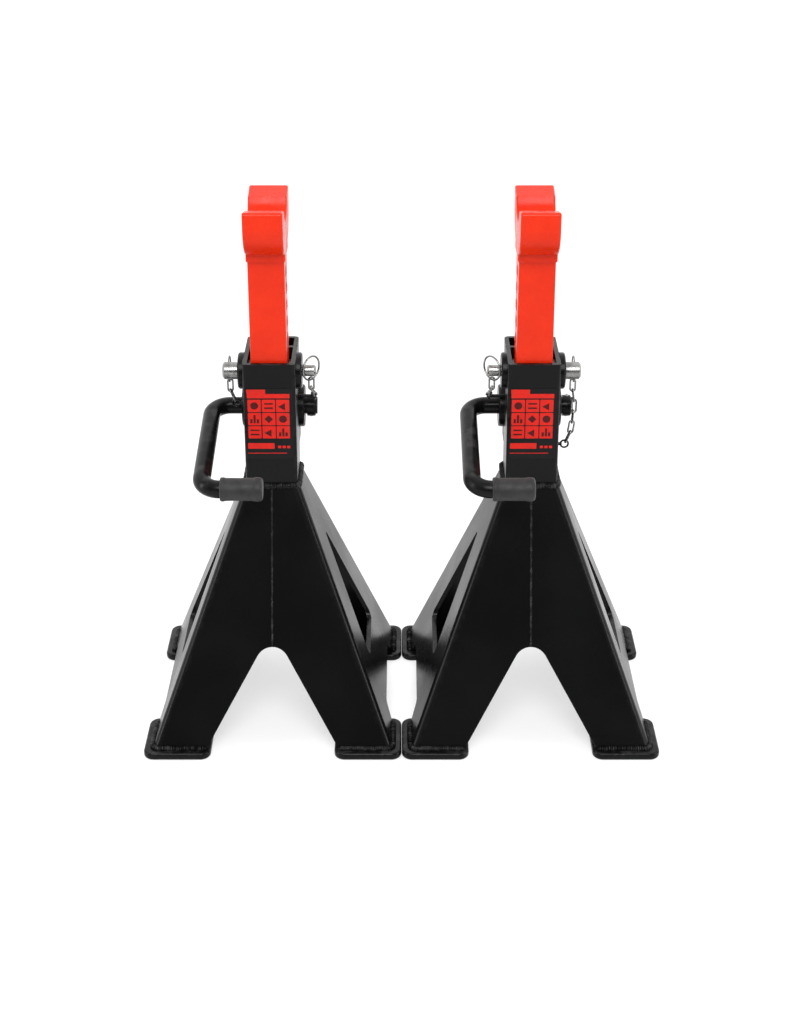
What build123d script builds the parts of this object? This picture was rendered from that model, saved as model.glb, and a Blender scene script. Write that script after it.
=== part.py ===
from build123d import *
import math
import os

os.makedirs("parts", exist_ok=True)

# ---------------------------------------------------------------- sizes (mm)
base_w = 300.0  # across the foot pads, both ways
stand_gap = 0.4  # air between the foot pads of the two stands
pad_side = 78.0
pad_t = 9.0
pad_corner = 12.0
pad_ledge = 10.5  # pad showing outside each wall

col_w = 60.0
col_t = 5.0
col_r = 4.0
col_top_z = 447.0

shell_top_z = 294.5
shell_top_half = col_w / 2 + 2.7  # half the width of the pyramid at its top
shell_slope = (base_w / 2 - pad_ledge - shell_top_half) / (shell_top_z - pad_t)
shell_t = 5.0
shell_bend_r = 9.0
seam_w = 1.6

notch_top_z = 121.0  # crown of the V between the front feet
notch_lean = (base_w / 2 - pad_side + 5) / (notch_top_z + 10.5)
notch_r = 20.0
side_notch_z = 28.6
side_notch_half = base_w / 2 - pad_side - 6
side_notch_r = 12.0
window_top_z = 207.0
window_low_z = 80.5
window_half = 0.17 * base_w
window_r = 4.0

rod_d = 20.0
running = 0.05  # radial clearance of the pivot in its bosses
hub_r = rod_d / 2 + 3.5
pivot_y = col_w / 2 + rod_d / 2 + 2
pivot_z = col_top_z - 80
housing_back = pivot_y + hub_r + 0.5 + col_t  # how far back the pawl housing reaches
housing_low_z = col_top_z - 121
pivot_boss_d = 2.5 * rod_d
boss_t = 6.5
side_x = col_w / 2  # flat sides of the column
boss_x = side_x + boss_t

bar_w = col_w - 2 * col_t - 9
bar_front = -(col_w / 2 - col_t - 1)
bar_back = col_w / 2 - col_t - 3  # tips of the teeth
tooth_deep = 6.0
travel = 120.0  # lift each way from the middle height
pitch = 20.0  # one click of the ratchet
clicks = int(travel / pitch + 0.01)
col_low_z = shell_top_z - 36.5
bar_low_z = col_low_z + 4
pin_z = col_top_z - 19
pin_d = 13.0
pin_hole_d = pin_d + 1.2
pin_boss_d = 42.0

saddle_w = bar_w + 3
saddle_top_z = col_top_z + 185
saddle_half = 57.0
mouth_half = 28.0  # half the width of the cradle between the horns
mouth_z = saddle_top_z - 5.5
cradle_low_z = saddle_top_z - 25
collar_z = saddle_top_z - 65
bar_top_z = collar_z + 5

pawl_w = 26.0
nose_h = 48.0  # top of the nose above the pivot
nose_lift = 2.6  # slack between nose and tooth

handle_x = -(side_x + 42)
handle_reach = 168.0
handle_dip = 10.6  # degrees below level
handle_bend = 21.0
grip_d = rod_d + 7
grip_from = -50.0
grip_to = -2.5
stub_end = side_x + 21
collar_mid = side_x + 14

pin_head_d = 20.0
pin_head_out = side_x + 24.5
pin_tail = side_x + 22
wire = 2.2
head_ring_r = 15.0
keeper_r = pin_d / 2 + 7.5
link_r = 2.9
link_long = 4.7  # half the straight side of a link
eye_r = 4.5
hook = link_long + link_r - wire - 0.15  # from a link's middle to the wire that it hooks

label_w = 53.0
label_h = 87.0
label_t = 0.5

stand_x = (base_w + stand_gap) / 2


# ---------------------------------------------------------------- helpers
def half_at(z):
    """Half the outside width of the pyramid at height z."""
    return shell_top_half + shell_slope * (shell_top_z - z)


def rounded_block(half, z0, z1, r):
    """A square upright block with rounded corners."""
    side = RectangleRounded(2 * half, 2 * half, r)
    return extrude(Pos(0, 0, z0) * side, z1 - z0)


def pyramid(z0, z1, inset, r):
    """A tapering square block with rounded corners, inset from the outside walls."""
    low = Pos(0, 0, z0) * RectangleRounded(2 * (half_at(z0) - inset), 2 * (half_at(z0) - inset), r)
    top = Pos(0, 0, z1) * RectangleRounded(2 * (half_at(z1) - inset), 2 * (half_at(z1) - inset), r)
    return loft([low, top])


def rod(d, length, x, y, z):
    """A round rod along X, starting at x."""
    return Pos(x + length / 2, y, z) * Rot(0, 90, 0) * Cylinder(d / 2, length)


def plate_from(points, x0, x1):
    """A flat outline in Y and Z, thickened along X."""
    outline = Polyline([(0, y, z) for y, z in points], close=True)
    return extrude(make_face(outline), x1 - x0, dir=(1, 0, 0)).moved(Location((x0, 0, 0)))


def ring(radius, d):
    """A ring of round wire, lying flat."""
    return Torus(radius, d / 2)


def save(name, *pieces):
    """Write one node, with each of its pieces as its own solid."""
    solids = [s for piece in pieces for s in piece.solids()]
    node = Compound(children=[Solid(s.wrapped) for s in solids]) if len(solids) > 1 else solids[0]
    export_step(node, f"parts/{name}.step")


# ---------------------------------------------------------------- base
def notch_cut():
    """The V between two feet, rounded at its crown, running front to back."""
    angle = math.atan(notch_lean)
    tip_z = notch_top_z + notch_r * (1 / math.sin(angle) - 1)
    low = -10.0
    v = Polyline(
        (0, 0, tip_z),
        (notch_lean * (tip_z - low), 0, low),
        (-notch_lean * (tip_z - low), 0, low),
        close=True,
    )
    block = extrude(make_face(v), base_w / 2 + 20, dir=(0, 1, 0), both=True)
    crown = block.edges().filter_by(Axis.Y).sort_by(Axis.Z)[-1]
    return fillet(crown, notch_r)


def side_notch_cut():
    """The low flat-topped notch under a side wall, running side to side."""
    spread = 24.0
    outline = Polyline(
        (0, -side_notch_half, side_notch_z),
        (0, side_notch_half, side_notch_z),
        (0, side_notch_half + spread, 0),
        (0, -side_notch_half - spread, 0),
        close=True,
    )
    block = extrude(make_face(outline), base_w / 2 + 20, dir=(1, 0, 0), both=True)
    return fillet(block.edges().filter_by(Axis.X).sort_by(Axis.Z)[-2:], side_notch_r)


def window_cut():
    """The three-cornered window through both side walls."""
    outline = Polyline(
        (0, 0, window_top_z + 22),
        (0, window_half, window_low_z),
        (0, -window_half, window_low_z),
        close=True,
    )
    block = extrude(make_face(outline), base_w / 2 + 20, dir=(1, 0, 0), both=True)
    edges = block.edges().filter_by(Axis.X).sort_by(Axis.Z)
    block = fillet(edges[-1], window_r)
    return fillet(block.edges().filter_by(Axis.X).sort_by(Axis.Z)[:2], 2 * window_r)


def shells():
    """The two bent leg shells, which meet down the middle of the front and the back."""
    outside = pyramid(pad_t, shell_top_z, 0, shell_bend_r)
    lean = shell_t * math.hypot(1, shell_slope)
    inside = pyramid(pad_t - 1, shell_top_z + 1, lean, shell_bend_r - shell_t)
    walls = outside - inside - rounded_block(col_w / 2, 0, col_top_z, col_r)
    walls = walls - notch_cut() - side_notch_cut() - window_cut()
    room = Pos(0, 0, 150) * Box(400, 400, 400)
    right = walls & Pos(200 + seam_w / 2, 0, 0) * room
    left = walls & Pos(-200 - seam_w / 2, 0, 0) * room
    seams = walls & Pos(0, 0, 150) * Box(seam_w, 400, 400)
    return left, right, seams


def foot_pads():
    """Four pressed pads with rounded corners and rims."""
    pads = []
    at = (base_w - pad_side) / 2
    for x in (-at, at):
        for y in (-at, at):
            pad = extrude(Pos(x, y, 0) * RectangleRounded(pad_side, pad_side, pad_corner), pad_t)
            pad = fillet(pad.faces().sort_by(Axis.Z)[0].edges(), 3.5)
            pads.append(fillet(pad.faces().sort_by(Axis.Z)[-1].edges(), 2.5))
    return pads


def foot_welds():
    """A weld bead round the outside of each foot."""
    leg = 3.5
    low = Pos(0, 0, pad_t) * RectangleRounded(2 * half_at(pad_t) + 2 * leg, 2 * half_at(pad_t) + 2 * leg, 11)
    top = Pos(0, 0, pad_t + leg) * RectangleRounded(
        2 * half_at(pad_t + leg) + 0.6, 2 * half_at(pad_t + leg) + 0.6, shell_bend_r
    )
    bead = loft([low, top]) - pyramid(pad_t - 1, pad_t + 9, 0, shell_bend_r)
    side = 70.0
    across = base_w / 2 - 58 + side / 2
    along = base_w / 2 - 54 + side / 2
    beads = []
    for x in (-1, 1):
        for y in (-1, 1):
            corner = Pos(x * across, y * along, 20) * Box(side, side, 60)
            beads.append(bead & corner)
    return beads


def collar_weld():
    """The bead where the column stands in the top of the shells."""
    low = Pos(0, 0, shell_top_z) * RectangleRounded(2 * shell_top_half + 1, 2 * shell_top_half + 1, 6)
    top = Pos(0, 0, shell_top_z + 5.5) * RectangleRounded(col_w + 1.2, col_w + 1.2, col_r + 0.5)
    return loft([low, top]) - rounded_block(col_w / 2, 200, col_top_z, col_r)


# ---------------------------------------------------------------- column
def column():
    """The square tube that guides the bar, open at the back for the pawl."""
    tube = rounded_block(col_w / 2, col_low_z, col_top_z, col_r)
    tube -= rounded_block(col_w / 2 - col_t, col_low_z - 1, col_top_z + 1, 1.5)
    tube -= Pos(0, col_w / 2, pivot_z + 25) * Box(pawl_w + 5, 20, 88)
    return tube - rod(pin_hole_d, 80, -40, 0, pin_z)


def guide_strips():
    """Two strips inside the column that centre the bar and stop its foot pin."""
    strips = []
    t = (col_w - 2 * col_t - bar_w) / 2 - 0.4
    for side in (-1, 1):
        x = side * (col_w / 2 - col_t - t / 2)
        strip = Pos(x, -2, pin_z - 10) * Box(t, 36, 36)
        strips.append(strip - rod(pin_hole_d, 80, -40, 0, pin_z))
    return strips


def pawl_housing():
    """The folded channel behind the column that holds the pivot and covers the pawl."""
    depth = housing_back - col_w / 2
    height = col_top_z - housing_low_z
    mid_z = (col_top_z + housing_low_z) / 2
    block = Pos(0, col_w / 2 + depth / 2, mid_z) * Box(col_w, depth, height)
    block = fillet(block.edges().filter_by(Axis.Z).sort_by(Axis.Y)[-2:], 6)
    hollow = Pos(0, col_w / 2 + (depth - col_t) / 2, mid_z) * Box(col_w - 2 * col_t, depth - col_t, height + 2)
    return block - hollow - rod(rod_d + 1.2, 80, -40, pivot_y, pivot_z)


def bosses(d, hole, y, z):
    """A round boss on each side of the stand."""
    out = []
    for side in (-1, 1):
        x = side * (col_w / 2 + boss_t / 2)
        disc = Pos(x, y, z) * Rot(0, 90, 0) * Cylinder(d / 2, boss_t)
        rim = disc.faces().sort_by(Axis.X)[-1 if side > 0 else 0].edges()
        out.append(chamfer(rim, 1.5) - rod(hole, 120, -60, y, z))
    return out


# ---------------------------------------------------------------- bar
def saddle():
    """The cradle on top of the bar, with a rolled horn at each end that slopes in to the mouth."""
    h = saddle_half
    top = saddle_top_z
    outline = Wire(
        [
            Line((0, bar_front - 3, collar_z), (0, bar_front - 3, collar_z + 9)),
            ThreePointArc((0, bar_front - 3, collar_z + 9), (0, 8 - h, collar_z + 23), (0, -h, collar_z + 45)),
            Line((0, -h, collar_z + 45), (0, -h, top - 4)),
            ThreePointArc((0, -h, top - 4), (0, -h + 1.2, top - 1.2), (0, -h + 4, top)),
            Line((0, -h + 4, top), (0, -mouth_half, mouth_z)),
            ThreePointArc((0, -mouth_half, mouth_z), (0, 0, cradle_low_z), (0, mouth_half, mouth_z)),
            Line((0, mouth_half, mouth_z), (0, h - 4, top)),
            ThreePointArc((0, h - 4, top), (0, h - 1.2, top - 1.2), (0, h, top - 4)),
            Line((0, h, top - 4), (0, h, collar_z + 45)),
            ThreePointArc((0, h, collar_z + 45), (0, h - 8, collar_z + 23), (0, -bar_front + 3, collar_z + 9)),
            Line((0, -bar_front + 3, collar_z + 9), (0, -bar_front + 3, collar_z)),
            Line((0, -bar_front + 3, collar_z), (0, bar_front - 3, collar_z)),
        ]
    )
    block = extrude(Face(outline), saddle_w / 2, dir=(1, 0, 0), both=True)
    rims = block.faces().filter_by(Axis.X).edges()
    return fillet(rims, 2.0)


def tooth_line():
    """The back edge of the bar from foot to collar: flat-bottomed teeth, one to each click."""
    first = pivot_z + nose_h + nose_lift - clicks * pitch
    root = bar_back - tooth_deep
    points = [(bar_back, bar_low_z)]
    for i in range(2 * clicks + 1):
        z = first + i * pitch
        points += [(bar_back, z - pitch + 4), (root, z - 0.8), (root, z), (bar_back, z)]
    return points + [(bar_back, bar_top_z)]


def ratchet_bar():
    """The toothed bar with its pin holes and saddle, cast in one."""
    outline = [(bar_front, bar_top_z), (bar_front, bar_low_z)] + tooth_line()
    shaft = plate_from(outline, -bar_w / 2, bar_w / 2)
    shaft = fillet(shaft.edges().filter_by(Axis.Z).group_by(Axis.Y)[0], 1.5)
    shaft += saddle()
    for i in range(-clicks, clicks + 1):
        shaft -= rod(pin_hole_d, 80, -40, 0, pin_z + i * pitch)
    return shaft - rod(8, 80, -40, 0, bar_low_z + 12)


def foot_pin():
    """The cross pin in the bar's foot that keeps the bar in the column."""
    return rod(8, col_w - 2 * col_t - 2, -(col_w / 2 - col_t - 1), 0, bar_low_z + 12)


# ---------------------------------------------------------------- release
def handle_place():
    return Location((0, pivot_y, pivot_z)) * Rot(handle_dip, 0, 0)


def handle():
    """The bent round bar: pivot, arm, drop and grip end in one piece."""
    path = FilletPolyline(
        (stub_end, 0), (handle_x, 0), (handle_x, -handle_reach), (grip_to - 4, -handle_reach), radius=handle_bend
    )
    start = Plane(origin=(stub_end, 0, 0), z_dir=(-1, 0, 0))
    bar = sweep(start * Circle(rod_d / 2), path=path)
    bar = handle_place() * bar
    bar -= Pos(collar_mid, pivot_y, pivot_z) * Cylinder(2.5, 60)
    return bar - Pos(0, pivot_y, pivot_z) * Cylinder(3, 60)


def grip():
    """A soft sleeve with a closed round end over the end of the handle."""
    sleeve = Pos((grip_from + grip_to) / 2, -handle_reach, 0) * Rot(0, 90, 0) * Cylinder(
        grip_d / 2, grip_to - grip_from
    )
    sleeve = fillet(sleeve.faces().sort_by(Axis.X)[-1].edges(), 4)
    sleeve = fillet(sleeve.faces().sort_by(Axis.X)[0].edges(), 1)
    return handle_place() * (sleeve - rod(rod_d, grip_to - 4 - grip_from + 1, grip_from - 1, -handle_reach, 0))


def pawl():
    """The hooked catch fixed on the pivot, its nose under a tooth of the bar."""
    root = bar_back - tooth_deep
    top = pivot_z + nose_h
    nose = [
        (root + 1.2, top),
        (bar_back + 0.9, top - pitch + 5.6),
        (bar_back + 5.6, pivot_z + 12),
        (pivot_y, pivot_z),
        (pivot_y + 13.2, pivot_z + 2),
        (bar_back + 14, top - 16),
        (bar_back + 6, top),
    ]
    hub = rod(2 * hub_r, pawl_w, -pawl_w / 2, pivot_y, pivot_z)
    body = plate_from(nose, -pawl_w / 2, pawl_w / 2) + hub
    body -= rod(rod_d, 80, -40, pivot_y, pivot_z)
    return body - Pos(0, pivot_y, pivot_z) * Cylinder(3, 60)


def pawl_pin():
    """The roll pin that fixes the pawl on the pivot."""
    return Pos(0, pivot_y, pivot_z) * (Cylinder(3, 2 * hub_r - 1) - Cylinder(1.5, 2 * hub_r + 1))


def pivot_collar():
    """The collar on the free end of the pivot."""
    collar = Pos(collar_mid, pivot_y, pivot_z) * Rot(0, 90, 0) * Cylinder(rod_d / 2 + 2.5, 10)
    collar = chamfer(collar.faces().sort_by(Axis.X)[-1].edges(), 1)
    return collar - rod(rod_d, 80, 0, pivot_y, pivot_z) - Pos(collar_mid, pivot_y, pivot_z) * Cylinder(2.5, 60)


def collar_pin():
    """The roll pin through the collar."""
    return Pos(collar_mid, pivot_y, pivot_z) * (Cylinder(2.5, rod_d + 6.5) - Cylinder(1.2, rod_d + 8))


# ---------------------------------------------------------------- locking pin
def ring_place(side):
    """Where the ring sits: it passes down through the head and hangs behind it."""
    return Pos(side * (side_x + 18), head_ring_r - 2, pin_z - 3) * Rot(0, 90, 0)


def locking_pin(side):
    """The plain pin through column and bar, its head on the given side."""
    head_in = boss_x + 0.4
    head = rod(pin_head_d, pin_head_out - head_in, head_in, 0, pin_z)
    head = chamfer(head.faces().sort_by(Axis.X)[-1].edges(), 2)
    head = chamfer(head.faces().sort_by(Axis.X)[0].edges(), 0.8)
    shank = rod(pin_d, head_in + pin_tail, -pin_tail, 0, pin_z)
    shank = chamfer(shank.faces().sort_by(Axis.X)[0].edges(), 2)
    pin = head + shank - ring_place(1) * ring(head_ring_r, wire + 1)
    return pin if side > 0 else pin.mirror(Plane.YZ)


def head_ring(side):
    """The split ring through the head of the pin."""
    return ring_place(side) * ring(head_ring_r, wire)


def tail_ring(side):
    """The loose keeper ring round the tail of the pin."""
    hang = Pos(-side * (side_x + 16.6), 0, pin_z + 3) * Rot(0, 0, side * 38)
    return hang * Rot(0, 90, 0) * ring(keeper_r, wire)


def link():
    """One oval chain link, its length along Z."""
    r = link_r
    path = Wire(
        [
            Line((r, 0, -link_long), (r, 0, link_long)),
            ThreePointArc((r, 0, link_long), (0, 0, link_long + r), (-r, 0, link_long)),
            Line((-r, 0, link_long), (-r, 0, -link_long)),
            ThreePointArc((-r, 0, -link_long), (0, 0, -link_long - r), (r, 0, -link_long)),
        ]
    )
    start = Plane(origin=(r, 0, -link_long), z_dir=(0, 0, 1))
    return sweep(start * Circle(wire / 2), path=path)


def chain(curve, count):
    """Links threaded one through the next along a curve, each turned a quarter from the last."""
    one = link()
    links = []
    for i in range(count):
        t = i / (count - 1)
        along = curve.tangent_at(t)
        side = along.cross(Vector(0, 1, 0)).normalized()
        place = Plane(origin=curve.position_at(t), x_dir=side, z_dir=along)
        links.append(place * Rot(0, 0, 90 * (i % 2)) * one)
    return links


def head_route(side):
    """The line of the chain from the head ring to the column, and how many links hang on it."""
    y = head_ring_r - 2
    z = pin_z - 3 - head_ring_r - hook
    if side < 0:
        points = [(-(side_x + 18), y, z), (-(side_x + 15.1), y - 1.9, z - 11.7)]
        return Spline(*points, tangents=[(0, 0, -1), (0.42, -0.28, -0.86)]), 2
    points = [
        (side_x + 18, y, z),
        (side_x + 19.5, 10, z - 19),
        (side_x + 18, 5, z - 40),
        (side_x + 13.5, 3, z - 60.8),
    ]
    return Spline(*points, tangents=[(0, 0, -1), (-0.4, -0.08, -0.91)]), 6


def tail_route(side):
    """The line of the chain from the keeper ring to the column, and how many links hang on it."""
    z = pin_z + 3.3 - keeper_r - hook
    points = [(-side * (side_x + 16.6), 0, z), (-side * (side_x + 19), 10.4, z - 17.1)]
    return Spline(*points, tangents=[(0, 0, -1), (0, 0.85, -0.53)]), 3


def head_chain(side):
    return chain(*head_route(side))


def tail_chain(side):
    return chain(*tail_route(side))


def chain_eyes(side):
    """Two small eyes on the sides of the stand, each through the last link of its chain."""
    curve, count = head_route(side)
    end = curve.position_at(1)
    along = curve.tangent_at(1)
    flat = Vector(along.X, 0, along.Z).normalized()
    middle = end + along * hook + flat * eye_r
    reach = abs(middle.X) - side_x - eye_r + 1.5
    low = rod(4, reach, side * (side_x + reach / 2) - reach / 2, middle.Y, middle.Z)
    low += Pos(middle.X, middle.Y, middle.Z) * Rot(90, 0, 0) * ring(eye_r, wire)
    curve, count = tail_route(side)
    along = curve.tangent_at(1)
    middle = curve.position_at(1) + along * (hook + eye_r)
    foot = middle + along * (eye_r + 1)
    reach = abs(middle.X) - side_x + 2
    high = rod(4, reach, -side * (side_x + reach / 2) - reach / 2, foot.Y, foot.Z)
    high += Pos(middle.X, middle.Y, middle.Z) * Rot(0, 90, 0) * ring(eye_r, wire)
    return [low, high]


def label_plate():
    """The thin label on the front of the column."""
    plate = Pos(0, -(col_w + label_t) / 2, pivot_z + 7.5) * Box(label_w, label_t, label_h)
    return fillet(plate.edges().filter_by(Axis.Y), 3)


# ---------------------------------------------------------------- stands
def stand(name, x, side):
    """All the pieces of one stand, written round its own middle."""
    at = Location((x, 0, 0))
    left, right, seams = shells()
    nodes = {
        "shell_left": [left],
        "shell_right": [right],
        "seam_welds": [seams],
        "foot_pads": foot_pads(),
        "foot_welds": foot_welds(),
        "collar_weld": [collar_weld()],
        "column": [column()],
        "guide_strips": guide_strips(),
        "pawl_housing": [pawl_housing()],
        "pivot_bosses": bosses(pivot_boss_d, rod_d + 2 * running, pivot_y, pivot_z),
        "pin_bosses": bosses(pin_boss_d, pin_hole_d, 0, pin_z),
        "label_plate": [label_plate()],
        "ratchet_bar": [ratchet_bar()],
        "foot_pin": [foot_pin()],
        "handle": [handle()],
        "grip": [grip()],
        "pawl": [pawl()],
        "pawl_pin": [pawl_pin()],
        "pivot_collar": [pivot_collar()],
        "collar_pin": [collar_pin()],
        "locking_pin": [locking_pin(side)],
        "head_ring": [head_ring(side)],
        "tail_ring": [tail_ring(side)],
        "head_chain": head_chain(side),
        "tail_chain": tail_chain(side),
        "chain_eyes": chain_eyes(side),
    }
    for node, pieces in nodes.items():
        save(f"{name}_{node}", *[p.moved(at) for p in pieces])


stand("left", -stand_x, -1)
stand("right", stand_x, 1)
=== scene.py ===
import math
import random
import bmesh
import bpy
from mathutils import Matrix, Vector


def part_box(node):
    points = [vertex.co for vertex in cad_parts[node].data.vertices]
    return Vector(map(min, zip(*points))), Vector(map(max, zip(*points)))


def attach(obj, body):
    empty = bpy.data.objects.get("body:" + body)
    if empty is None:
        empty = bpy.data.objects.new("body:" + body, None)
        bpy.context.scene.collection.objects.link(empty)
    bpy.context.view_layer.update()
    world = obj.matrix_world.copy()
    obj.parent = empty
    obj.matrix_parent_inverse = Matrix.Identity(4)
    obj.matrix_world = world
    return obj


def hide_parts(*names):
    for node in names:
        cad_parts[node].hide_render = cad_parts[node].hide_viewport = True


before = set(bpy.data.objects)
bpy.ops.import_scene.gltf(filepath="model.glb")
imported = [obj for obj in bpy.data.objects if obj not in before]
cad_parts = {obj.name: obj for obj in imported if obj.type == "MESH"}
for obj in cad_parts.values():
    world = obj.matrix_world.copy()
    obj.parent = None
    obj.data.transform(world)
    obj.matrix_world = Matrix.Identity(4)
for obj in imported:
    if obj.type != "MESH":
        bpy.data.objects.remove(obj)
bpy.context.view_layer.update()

# %% [markdown]
# # A pair of ratchet axle stands
# Two steel stands, side by side. Each has a base of two bent shells, a square column, a toothed
# bar with a saddle, a release handle with its pawl, and a locking pin on a chain. The exact
# shapes come in with the frame that was just loaded. This lesson adds the finishes, and the
# things that are easier to shape as meshes: weld beads, the printed label, split rings.
# Every length is in metres, and both stands stand on z = 0.

scene = bpy.context.scene
sides = ("left", "right")
middle = {side: (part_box(side + "_column")[0].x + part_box(side + "_column")[1].x) / 2 for side in sides}
print("middle of each stand", middle)

# %% [markdown]
# ## The camera
# The pair is looked down on by about 23 degrees, from just under two metres away, with a lens a
# little longer than a portrait lens so that the upright edges stay nearly upright. The frame is
# moved on the sensor rather than by turning the camera, which keeps the columns from leaning.

# %% Camera
down = math.radians(22.75)
lens = bpy.data.cameras.new("camera")
lens.sensor_fit = "HORIZONTAL"
lens.sensor_width = 36
lens.lens = 81.5
lens.shift_x = -0.002
lens.shift_y = -0.14
lens.clip_start = 0.01
camera = bpy.data.objects.new("camera", lens)
camera.location = (0, -1.9268, 1.1993)
camera.rotation_euler = (math.pi / 2 - down, 0, 0)
scene.collection.objects.link(camera)
scene.camera = camera
print("camera", tuple(camera.location))

# %% [markdown]
# ## The light
# Black enamel shows very little but reflections, so the room matters more than the lamps. The
# sides and the ceiling are bright, and turn grazing walls light grey. The part of the room in
# front is dim, which keeps the faces that look forward black. A wide lamp high in front lights
# the red bar, and one each side draws the thin lines along the bent corners.

# %% World
scene.view_settings.view_transform = "Standard"
world = bpy.data.worlds.new("studio")
scene.world = world
world.use_nodes = True
sky = world.node_tree
sky.nodes.clear()
direction = sky.nodes.new("ShaderNodeTexCoord")
axes = sky.nodes.new("ShaderNodeSeparateXYZ")
sky.links.new(direction.outputs["Generated"], axes.inputs[0])
forward = sky.nodes.new("ShaderNodeMapRange")
forward.inputs["From Min"].default_value = -0.95
forward.inputs["From Max"].default_value = 0.35
forward.inputs["To Min"].default_value = 0.10
forward.inputs["To Max"].default_value = 1.55
sky.links.new(axes.outputs["Y"], forward.inputs["Value"])
room = sky.nodes.new("ShaderNodeBackground")
sky.links.new(forward.outputs[0], room.inputs["Color"])
backdrop = sky.nodes.new("ShaderNodeBackground")
backdrop.inputs["Color"].default_value = (1, 1, 1, 1)
seen = sky.nodes.new("ShaderNodeLightPath")
either = sky.nodes.new("ShaderNodeMixShader")
result = sky.nodes.new("ShaderNodeOutputWorld")
sky.links.new(seen.outputs["Is Camera Ray"], either.inputs[0])
sky.links.new(room.outputs[0], either.inputs[1])
sky.links.new(backdrop.outputs[0], either.inputs[2])
sky.links.new(either.outputs[0], result.inputs[0])
print("world with", len(sky.nodes), "nodes")


# %% Lamps
def lamp(name, place, target, wide, tall, power):
    """A soft lamp at place, facing target."""
    data = bpy.data.lights.new(name, "AREA")
    data.shape = "RECTANGLE"
    data.size = wide
    data.size_y = tall
    data.energy = power
    light = bpy.data.objects.new(name, data)
    light.location = place
    light.rotation_euler = (Vector(target) - Vector(place)).to_track_quat("-Z", "Y").to_euler()
    scene.collection.objects.link(light)
    return light


heart = (0, 0, 0.35)
lamp("front_lamp", (0, -2.0, 2.4), heart, 1.4, 1.4, 66)
lamp("left_lamp", (-2.0, -0.5, 0.9), heart, 0.3, 1.6, 14)
lamp("right_lamp", (2.0, -0.5, 0.9), heart, 0.3, 1.6, 14)


# %% [markdown]
# ## Helpers for materials
# Every finish here is built from the same few steps: noise in the object's own coordinates, a
# ramp that turns the noise into a mask, a mix of two colours, and a bump. Four small helpers
# keep each finish short enough to read.

# %% Material helpers
def finish(name, colour, roughness, metallic=0.0, specular=0.5):
    """A new material, and its shader."""
    made = bpy.data.materials.new(name)
    made.use_nodes = True
    shader = made.node_tree.nodes["Principled BSDF"]
    shader.inputs["Base Color"].default_value = (*colour, 1)
    shader.inputs["Roughness"].default_value = roughness
    shader.inputs["Metallic"].default_value = metallic
    shader.inputs["Specular IOR Level"].default_value = specular
    return made, shader


def noise(made, scale, detail=4.0, stretch=(1, 1, 1)):
    """Noise in object coordinates; scale is in features to the metre."""
    tree = made.node_tree
    place = tree.nodes.new("ShaderNodeTexCoord")
    turn = tree.nodes.new("ShaderNodeMapping")
    turn.inputs["Scale"].default_value = stretch
    cloud = tree.nodes.new("ShaderNodeTexNoise")
    cloud.inputs["Scale"].default_value = scale
    cloud.inputs["Detail"].default_value = detail
    tree.links.new(place.outputs["Object"], turn.inputs[0])
    tree.links.new(turn.outputs[0], cloud.inputs["Vector"])
    return cloud.outputs[0]


def between(made, value, low, high, to_low=0.0, to_high=1.0):
    """Value stretched from low..high to to_low..to_high, and clamped."""
    stretch = made.node_tree.nodes.new("ShaderNodeMapRange")
    stretch.interpolation_type = "SMOOTHSTEP"
    for socket, number in (("From Min", low), ("From Max", high), ("To Min", to_low), ("To Max", to_high)):
        stretch.inputs[socket].default_value = number
    made.node_tree.links.new(value, stretch.inputs["Value"])
    return stretch.outputs[0]


def mixed(made, mask, first, second):
    """Two colours mixed by a mask. Either may be a colour or a socket."""
    node = made.node_tree.nodes.new("ShaderNodeMix")
    node.data_type = "RGBA"
    made.node_tree.links.new(mask, node.inputs["Factor"])
    for socket, colour in ((node.inputs[6], first), (node.inputs[7], second)):
        if isinstance(colour, tuple):
            socket.default_value = (*colour, 1)
        else:
            made.node_tree.links.new(colour, socket)
    return node.outputs[2]


def product(made, first, second):
    """Two masks multiplied."""
    node = made.node_tree.nodes.new("ShaderNodeMath")
    node.operation = "MULTIPLY"
    made.node_tree.links.new(first, node.inputs[0])
    made.node_tree.links.new(second, node.inputs[1])
    return node.outputs[0]


def bumped(made, shader, height, depth, strength=1.0, under=None):
    """A bump of that depth in metres; under is an earlier bump to lie on."""
    node = made.node_tree.nodes.new("ShaderNodeBump")
    node.inputs["Strength"].default_value = strength
    node.inputs["Distance"].default_value = depth
    made.node_tree.links.new(height, node.inputs["Height"])
    if under is not None:
        made.node_tree.links.new(under, node.inputs["Normal"])
    made.node_tree.links.new(node.outputs[0], shader.inputs["Normal"])
    return node.outputs[0]


def facing_up(made):
    """A mask of how far a surface looks upward, where dust can settle."""
    tree = made.node_tree
    shape = tree.nodes.new("ShaderNodeNewGeometry")
    parts = tree.nodes.new("ShaderNodeSeparateXYZ")
    tree.links.new(shape.outputs["Normal"], parts.inputs[0])
    return between(made, parts.outputs["Z"], 0.55, 1.0)


def edges(made, radius, low=0.02, high=0.22):
    """A mask of the sharp edges, from how far a rounded normal turns from the true one."""
    tree = made.node_tree
    rounded = tree.nodes.new("ShaderNodeBevel")
    rounded.samples = 4
    rounded.inputs["Radius"].default_value = radius
    shape = tree.nodes.new("ShaderNodeNewGeometry")
    compare = tree.nodes.new("ShaderNodeVectorMath")
    compare.operation = "DISTANCE"
    tree.links.new(rounded.outputs[0], compare.inputs[0])
    tree.links.new(shape.outputs["True Normal"], compare.inputs[1])
    return between(made, compare.outputs["Value"], low, high)


print("helpers ready")

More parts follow.
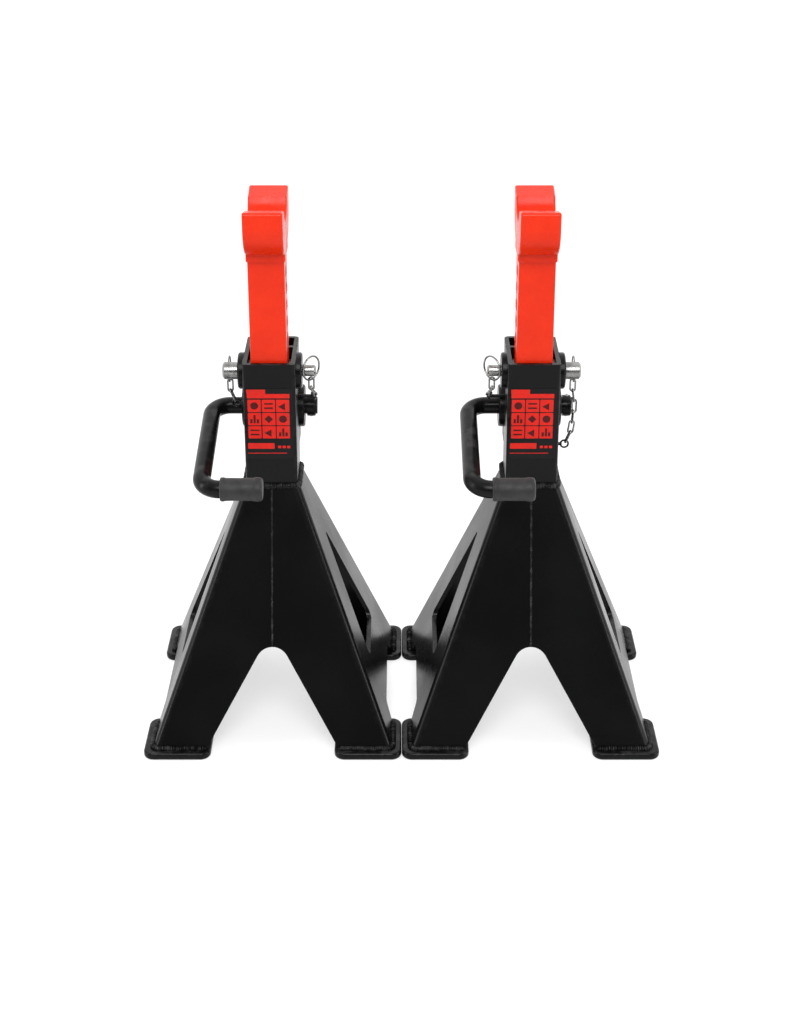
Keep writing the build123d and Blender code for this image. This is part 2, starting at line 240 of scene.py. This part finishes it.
# %% [markdown]
# ## Black enamel
# The shells, column and handle are dipped in black enamel: almost no colour, a satin gloss, and
# a skin that is never quite flat. Two scales of bump give the slow waves of the sheet and the
# fine peel of the paint. Thin dust lies where a surface faces up, and the paint is a little
# worn and greyer along its sharp edges.


# %% Black enamel
def black_paint(name, colour, roughness, wear):
    made, shader = finish(name, colour, roughness, specular=0.12)
    patches = noise(made, 9, 3)
    dust = product(made, facing_up(made), between(made, noise(made, 60, 6), 0.42, 0.7, 0.0, 0.6))
    dusty = mixed(made, dust, colour, (0.035, 0.034, 0.032))
    worn = product(made, edges(made, 0.0012), between(made, noise(made, 120, 5), 0.48, 0.62, 0.0, wear))
    made.node_tree.links.new(mixed(made, worn, dusty, (0.045, 0.046, 0.048)), shader.inputs["Base Color"])
    gloss = between(made, patches, 0.3, 0.7, roughness - 0.04, roughness + 0.07)
    made.node_tree.links.new(gloss, shader.inputs["Roughness"])
    peel = bumped(made, shader, noise(made, 900, 2), 0.00006, 0.35)
    bumped(made, shader, noise(made, 26, 1), 0.0006, 0.10, peel)
    return made


black_enamel = black_paint("black_enamel", (0.0032, 0.0033, 0.0035), 0.25, 0.6)
weld_enamel = black_paint("weld_enamel", (0.005, 0.005, 0.0053), 0.28, 0.4)
print("black enamel", len(black_enamel.node_tree.nodes), "nodes")

# %% [markdown]
# ## Red enamel
# The toothed bar is a casting, so under its red enamel the skin is finely pitted. A second,
# darker red lies in broad random patches, and the edges of the horns and teeth wear towards bare iron.

# %% Red enamel
red = (0.63, 0.022, 0.0025)
red_enamel, shader = finish("red_enamel", red, 0.28, specular=0.16)
tone = mixed(red_enamel, between(red_enamel, noise(red_enamel, 18, 5), 0.35, 0.7), red, (0.56, 0.018, 0.002))
chips = between(red_enamel, noise(red_enamel, 240, 5), 0.60, 0.66)
worn = product(red_enamel, edges(red_enamel, 0.0010, 0.12, 0.4), chips)
red_enamel.node_tree.links.new(mixed(red_enamel, worn, tone, (0.20, 0.16, 0.15)), shader.inputs["Base Color"])
gloss = between(red_enamel, noise(red_enamel, 45, 4), 0.3, 0.7, 0.22, 0.34)
red_enamel.node_tree.links.new(gloss, shader.inputs["Roughness"])
pits = bumped(red_enamel, shader, noise(red_enamel, 420, 3), 0.00008, 0.3)
bumped(red_enamel, shader, noise(red_enamel, 60, 2), 0.0003, 0.12, pits)
print("red enamel", len(red_enamel.node_tree.nodes), "nodes")

# %% [markdown]
# ## Zinc, steel, rubber and print
# The pin, rings and chains are zinc plated: a bright grey metal with cloudy patches. The pawl
# and roll pins are plain steel, a little oiled. The grip is soft black rubber with a fine
# moulded grain, and the label is a dull film with two inks.


# %% Metals
def metal(name, colour, dark, roughness, depth):
    made, shader = finish(name, colour, roughness, metallic=1.0)
    cloud = between(made, noise(made, 130, 5), 0.35, 0.68)
    made.node_tree.links.new(mixed(made, cloud, colour, dark), shader.inputs["Base Color"])
    gloss = between(made, noise(made, 300, 4), 0.3, 0.7, roughness - 0.06, roughness + 0.12)
    made.node_tree.links.new(gloss, shader.inputs["Roughness"])
    bumped(made, shader, noise(made, 1500, 3, (0.15, 1, 1)), depth, 0.5)
    return made


zinc_plate = metal("zinc_plate", (0.30, 0.30, 0.29), (0.16, 0.16, 0.16), 0.26, 0.00005)
bare_steel = metal("bare_steel", (0.42, 0.41, 0.40), (0.22, 0.21, 0.20), 0.38, 0.00008)
print("metals", zinc_plate.name, bare_steel.name)

# %% Rubber
grip_rubber, shader = finish("grip_rubber", (0.010, 0.010, 0.0105), 0.55, specular=0.3)
smudge = between(grip_rubber, noise(grip_rubber, 70, 5), 0.35, 0.7)
rubber_colour = mixed(grip_rubber, smudge, (0.010, 0.010, 0.0105), (0.018, 0.018, 0.019))
grip_rubber.node_tree.links.new(rubber_colour, shader.inputs["Base Color"])
gloss = between(grip_rubber, noise(grip_rubber, 200, 3), 0.3, 0.7, 0.46, 0.62)
grip_rubber.node_tree.links.new(gloss, shader.inputs["Roughness"])
bumped(grip_rubber, shader, noise(grip_rubber, 1400, 2), 0.0001, 0.5)
shader.inputs["Sheen Weight"].default_value = 0.08
print("rubber", grip_rubber.name)


# %% Label inks
def ink(name, colour, roughness):
    made, shader = finish(name, colour, roughness, specular=0.15)
    faded = tuple(0.86 * c + 0.002 for c in colour)
    mask = between(made, noise(made, 150, 6), 0.4, 0.72)
    made.node_tree.links.new(mixed(made, mask, colour, faded), shader.inputs["Base Color"])
    bumped(made, shader, noise(made, 700, 3), 0.00003, 0.4)
    return made


label_ground = ink("label_ground", (0.004, 0.004, 0.0042), 0.42)
label_red = ink("label_red", (0.55, 0.014, 0.008), 0.40)
label_dark = ink("label_dark", (0.06, 0.005, 0.005), 0.42)
print("inks", label_red.name)

# %% [markdown]
# ## Finishes on the frame's own pieces
# A piece of the frame keeps its exact shape. Only its material slots are filled, by name, so the
# same table serves both stands.

# %% Assign
finishes = {
    "shell_left": black_enamel,
    "shell_right": black_enamel,
    "foot_pads": black_enamel,
    "seam_welds": weld_enamel,
    "foot_welds": weld_enamel,
    "collar_weld": weld_enamel,
    "column": black_enamel,
    "guide_strips": bare_steel,
    "pawl_housing": black_enamel,
    "pivot_bosses": black_enamel,
    "pin_bosses": black_enamel,
    "label_plate": label_ground,
    "ratchet_bar": red_enamel,
    "foot_pin": bare_steel,
    "handle": black_enamel,
    "grip": grip_rubber,
    "pawl": bare_steel,
    "pawl_pin": bare_steel,
    "pivot_collar": black_enamel,
    "collar_pin": bare_steel,
    "locking_pin": zinc_plate,
    "head_ring": zinc_plate,
    "tail_ring": zinc_plate,
    "head_chain": zinc_plate,
    "tail_chain": zinc_plate,
    "chain_eyes": black_enamel,
}
for side in sides:
    for node, made in finishes.items():
        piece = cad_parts[side + "_" + node]
        if not piece.material_slots:
            piece.data.materials.append(made)
        for place in piece.material_slots:
            place.material = made
print("finished", 2 * len(finishes), "pieces of the frame")

# %% [markdown]
# ## Helpers for pieces
# A mesh piece has three jobs after its shape is made: outward normals, a material, and a body to
# ride on. One function does all of them, so that no piece is left behind when a joint moves.


# %% Piece helper
def piece(name, shape, made, slot, body, smooth=True, stands_for=()):
    """Turn a bmesh into a finished piece that rides on a body."""
    bmesh.ops.remove_doubles(shape, verts=shape.verts, dist=1e-6)
    bmesh.ops.recalc_face_normals(shape, faces=shape.faces)
    mesh = bpy.data.meshes.new(name)
    shape.to_mesh(mesh)
    shape.free()
    for face in mesh.polygons:
        face.use_smooth = smooth
    made_piece = bpy.data.objects.new(name, mesh)
    mesh.materials.append(made)
    scene.collection.objects.link(made_piece)
    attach(made_piece, body)
    if stands_for:
        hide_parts(*stands_for)
    print(name, len(mesh.polygons), "faces")
    return made_piece


# %% [markdown]
# ## Weld beads
# A weld is laid as a row of overlapping puddles, so a bead swells and shrinks every two or three
# millimetres. Here a small disc is extruded from stop to stop along the joint, and each new ring
# is scaled by a ripple and a little chance. A plain sweep would look like a bent wire.


# %% Bead helper
chance = random.Random(11)


def walk(corners, step):
    """Points every step along straight runs between the corners."""
    points = []
    for start, end in zip(corners, corners[1:]):
        count = max(1, round((end - start).length / step))
        points += [start.lerp(end, i / count) for i in range(count)]
    return points + [corners[-1]]


def turn(centre, radius, first, last, z, count=5):
    """Points on an arc at height z, its angles in degrees."""
    angles = [math.radians(first + (last - first) * i / count) for i in range(count + 1)]
    return [Vector((centre[0] + radius * math.cos(a), centre[1] + radius * math.sin(a), z)) for a in angles]


def lay_bead(shape, corners, radius, flat=1.0, ripple=0.0026, swell=0.13):
    """Extrude a disc along the corners, swelling at each ripple."""
    points = walk(corners, 0.0007)
    verts = bmesh.ops.create_circle(shape, cap_ends=True, radius=radius, segments=10)["verts"]
    face = verts[0].link_faces[0]
    before = Matrix.Identity(4)
    gone = 0.0
    for i, point in enumerate(points):
        ahead = points[min(i + 1, len(points) - 1)] - points[max(i - 1, 0)]
        gone += (point - points[max(i - 1, 0)]).length
        size = 1 + swell * math.sin(2 * math.pi * gone / ripple) + chance.uniform(-0.05, 0.05)
        size *= min(1, 0.35 + 0.2 * i, 0.35 + 0.2 * (len(points) - 1 - i))
        scale = Matrix.Diagonal((size, size * flat, size, 1))
        place = Matrix.Translation(point) @ ahead.to_track_quat("Z", "Y").to_matrix().to_4x4() @ scale
        if i == 0:
            bmesh.ops.transform(shape, matrix=place, verts=verts)
        else:
            grown = bmesh.ops.extrude_face_region(shape, geom=[face], use_keep_orig=i == 1)["geom"]
            face = [g for g in grown if isinstance(g, bmesh.types.BMFace)][0]
            bmesh.ops.transform(shape, matrix=place @ before.inverted(), verts=face.verts)
        before = place


# %% Foot beads
bend = 0.009  # radius of the bent corner of a shell
notch = 0.0772  # where the leg starts beside the front notch
side_notch = 0.0825  # and beside the side notch
for side in sides:
    foot_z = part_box(side + "_foot_pads")[1].z
    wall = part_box(side + "_shell_right")[1].y
    shape = bmesh.new()
    for sx in (-1, 1):
        for sy in (-1, 1):
            heights = foot_z + 0.0008
            arc = turn((wall - bend, wall - bend), bend + 0.0006, 90, 0, heights)
            path = [Vector((notch, wall + 0.0006, heights))] + arc + [Vector((wall + 0.0006, side_notch, heights))]
            path = [Vector((middle[side] + sx * p.x, sy * p.y, p.z)) for p in path]
            lay_bead(shape, path, 0.0033)
    piece(side + "_foot_beads", shape, weld_enamel, "black_enamel", side + "_base", stands_for=[side + "_foot_welds"])

# %% [markdown]
# The column stands in the top of the shells, and one bead runs all the way round it. It overlaps
# its own start a little, as a real one does. The seams down the front and back of the base were
# ground nearly flush, so their beads are flattened until only a thin line stands proud.

# %% Collar and seam beads
for side in sides:
    low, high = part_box(side + "_collar_weld")
    across = (high.x - low.x) / 2 - 0.0022
    base_z = low.z + 0.0018
    corner = 0.006
    ends = across - corner
    around = [Vector((0, -across, base_z))]
    for cx, cy, first in ((ends, -ends, -90), (ends, ends, 0), (-ends, ends, 90), (-ends, -ends, 180)):
        around += turn((cx, cy), corner, first, first + 90, base_z)
    around += [Vector((0.004, -across, base_z))]
    around = [Vector((middle[side] + p.x, p.y, p.z)) for p in around]
    shape = bmesh.new()
    lay_bead(shape, around, 0.0036, ripple=0.0032)
    piece(side + "_collar_bead", shape, weld_enamel, "black_enamel", side + "_base", stands_for=[side + "_collar_weld"])
    seam_low, seam_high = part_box(side + "_seam_welds")
    top_y = (high.x - low.x) / 2 - 0.0005
    shape = bmesh.new()
    for sy in (-1, 1):
        foot = Vector((middle[side], sy * seam_high.y, seam_low.z + 0.002))
        head = Vector((middle[side], sy * top_y, seam_high.z))
        lay_bead(shape, [foot, head], 0.0011, flat=0.32, ripple=0.003, swell=0.1)
    piece(side + "_seam_beads", shape, weld_enamel, "black_enamel", side + "_base")

# %% [markdown]
# ## The printed label
# A film on the front of the column carries a header bar, nine tiles, and a lower bar. The print is
# generic: each tile holds a plain mark such as a disc, a bar or a chevron, and there are no
# letters. The inks are thin slabs a tenth of a millimetre proud, so their edges catch the light.


# %% Print helpers
def slab(shape, x0, x1, z0, z1, y, thick, round_by=0.0):
    """A thin upright slab facing -Y, with rounded corners."""
    made_verts = bmesh.ops.create_grid(shape, x_segments=1, y_segments=1, size=0.5)["verts"]
    bmesh.ops.scale(shape, vec=(x1 - x0, z1 - z0, 1), verts=made_verts)
    stand_up = Matrix.Translation(((x0 + x1) / 2, y, (z0 + z1) / 2)) @ Matrix.Rotation(math.pi / 2, 4, "X")
    bmesh.ops.transform(shape, matrix=stand_up, verts=made_verts)
    face = made_verts[0].link_faces[0]
    if round_by:
        rounded = bmesh.ops.bevel(
            shape, geom=made_verts, offset=round_by, segments=3, profile=0.5, affect="VERTICES", material=-1
        )
        face = rounded["verts"][0].link_faces[0]
    grown = bmesh.ops.extrude_face_region(shape, geom=[face], use_keep_orig=True)["geom"]
    bmesh.ops.translate(shape, vec=(0, -thick, 0), verts=[g for g in grown if isinstance(g, bmesh.types.BMVert)])


def disc(shape, x, z, y, radius, thick, points=20, spin=0.0):
    """A thin disc, or with few points a triangle or a diamond, facing -Y."""
    made_verts = bmesh.ops.create_circle(shape, cap_ends=True, radius=radius, segments=points)["verts"]
    upright = Matrix.Translation((x, y, z)) @ Matrix.Rotation(math.pi / 2, 4, "X") @ Matrix.Rotation(spin, 4, "Z")
    bmesh.ops.transform(shape, matrix=upright, verts=made_verts)
    face = made_verts[0].link_faces[0]
    grown = bmesh.ops.extrude_face_region(shape, geom=[face], use_keep_orig=True)["geom"]
    bmesh.ops.translate(shape, vec=(0, -thick, 0), verts=[g for g in grown if isinstance(g, bmesh.types.BMVert)])


# %% Label print
ink_thick = 0.0001
for side in sides:
    low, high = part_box(side + "_label_plate")
    left, top, face_y = low.x, high.z, low.y
    bars = bmesh.new()
    slab(bars, left + 0.001, left + 0.0495, top - 0.0118, top - 0.0065, face_y, ink_thick, 0.0004)
    slab(bars, left + 0.0006, left + 0.022, top - 0.0066, top - 0.0012, face_y, ink_thick)
    tiles_left, tiles_top = left + 0.0015, top - 0.0135
    tile_w, tile_h, gap = 0.0151, 0.0153, 0.0011
    dark = bmesh.new()
    marks = 0
    for row in range(3):
        for column in range(3):
            x = tiles_left + column * (tile_w + gap)
            z = tiles_top - row * (tile_h + gap)
            slab(bars, x, x + tile_w, z - tile_h, z, face_y, ink_thick, 0.0008)
            cx, cz, y = x + tile_w / 2, z - tile_h / 2, face_y - ink_thick
            kind = (row * 3 + column) % 5
            if kind == 0:
                disc(dark, cx, cz, y, 0.0045, ink_thick)
            elif kind == 1:
                slab(dark, cx - 0.005, cx + 0.005, cz - 0.0038, cz - 0.0018, y, ink_thick, 0.0003)
                slab(dark, cx - 0.005, cx + 0.005, cz + 0.0016, cz + 0.0034, y, ink_thick, 0.0003)
            elif kind == 2:
                disc(dark, cx, cz - 0.001, y, 0.0052, ink_thick, 3, math.pi / 2)
            elif kind == 3:
                slab(dark, cx - 0.0012, cx + 0.0012, cz - 0.005, cz + 0.005, y, ink_thick, 0.0003)
                slab(dark, cx - 0.005, cx - 0.0024, cz - 0.005, cz, y, ink_thick, 0.0003)
                slab(dark, cx + 0.0024, cx + 0.005, cz - 0.005, cz, y, ink_thick, 0.0003)
            else:
                disc(dark, cx, cz, y, 0.0048, ink_thick, 4)
            marks += 1
    slab(bars, left + 0.0006, left + 0.031, top - 0.0745, top - 0.0675, face_y, ink_thick, 0.0004)
    for i in range(3):
        x = left + 0.035 + i * 0.0052
        slab(bars, x, x + 0.0036, top - 0.0738, top - 0.0708, face_y, ink_thick, 0.0003)
    slab(bars, left + 0.0006, left + 0.045, top - 0.0805, top - 0.0797, face_y, ink_thick)
    piece(side + "_label_print", bars, label_red, "label_film", side + "_base", smooth=False)
    piece(side + "_label_marks", dark, label_dark, "label_film", side + "_base", smooth=False)
    print(side, "label with", marks, "marks")

# %% [markdown]
# ## Split rings
# The ring through the head of the pin is a split ring: two turns of wire side by side, like a
# key ring. Spinning a small disc twice round while it climbs by one wire makes both turns at once.


# %% Split rings
for side, sign in (("left", -1), ("right", 1)):
    low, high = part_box(side + "_head_ring")
    centre = (low + high) / 2
    wire = high.x - low.x
    turn_radius = (high.y - low.y) / 2 - wire / 2
    shape = bmesh.new()
    start = bmesh.ops.create_circle(shape, cap_ends=True, radius=wire / 4, segments=8)["verts"]
    upright = Matrix.Translation(centre + Vector((-wire / 4, turn_radius, 0)))
    bmesh.ops.transform(shape, matrix=upright, verts=start)
    turns = 2
    steps = 48 * turns
    bmesh.ops.spin(
        shape, geom=[start[0].link_faces[0]], cent=centre, axis=(1, 0, 0), dvec=(wire / 2 / steps, 0, 0),
        angle=2 * math.pi * turns * 0.985, steps=steps, use_merge=False,
    )
    piece(side + "_split_ring", shape, zinc_plate, "zinc_plate", side + "_pin", stands_for=[side + "_head_ring"])

# %% [markdown]
# ## The rubber grip
# The sleeve is pushed over the end of the handle. It has a rolled mouth, a barely waisted body and
# a thicker closed end. Its outline is drawn once as a row of vertices and spun about the bar.


# %% Grip
for side in sides:
    low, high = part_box(side + "_grip")
    radius = (high.z - low.z) / 2
    centre = (low + high) / 2
    length = high.x - low.x
    outline = (
        (0.0, 0.78), (0.0, 0.93), (0.02, 0.985), (0.045, 1.0), (0.085, 1.0), (0.11, 0.965), (0.14, 0.945),
        (0.45, 0.935), (0.72, 0.945), (0.78, 0.95), (0.80, 0.97), (0.83, 1.0), (0.90, 1.0), (0.955, 0.965),
        (0.985, 0.88), (0.997, 0.72), (1.0, 0.45), (1.0, 0.0),
    )
    shape = bmesh.new()
    row = [shape.verts.new((low.x + at * length, centre.y, centre.z + out * radius)) for at, out in outline]
    rim = [shape.edges.new(pair) for pair in zip(row, row[1:])]
    bmesh.ops.spin(
        shape, geom=row + rim, cent=centre, axis=(1, 0, 0), angle=2 * math.pi, steps=48, use_merge=True
    )
    mouth = [e for e in shape.edges if e.is_boundary]
    bmesh.ops.holes_fill(shape, edges=mouth, sides=0)
    sleeve = piece(side + "_grip_sleeve", shape, grip_rubber, "grip_rubber", side + "_release", stands_for=[side + "_grip"])
    soften = sleeve.modifiers.new("smooth", "SUBSURF")
    soften.levels = soften.render_levels = 1

# %% [markdown]
# ## The floor
# A plain pale floor, much larger than the view. It glows a little, like the lit table of a
# product studio, which keeps the shadows on it thin.

# %% Floor
pale, shader = finish("pale_floor", (0.42, 0.42, 0.42), 0.9, specular=0.0)
shader.inputs["Emission Color"].default_value = (1, 1, 1, 1)
shader.inputs["Emission Strength"].default_value = 0.6
sheet = bmesh.new()
bmesh.ops.create_grid(sheet, x_segments=1, y_segments=1, size=8)
mesh = bpy.data.meshes.new("floor")
sheet.to_mesh(mesh)
sheet.free()
floor = bpy.data.objects.new("floor", mesh)
floor.data.materials.append(pale)
scene.collection.objects.link(floor)
print("floor", floor.dimensions[:])
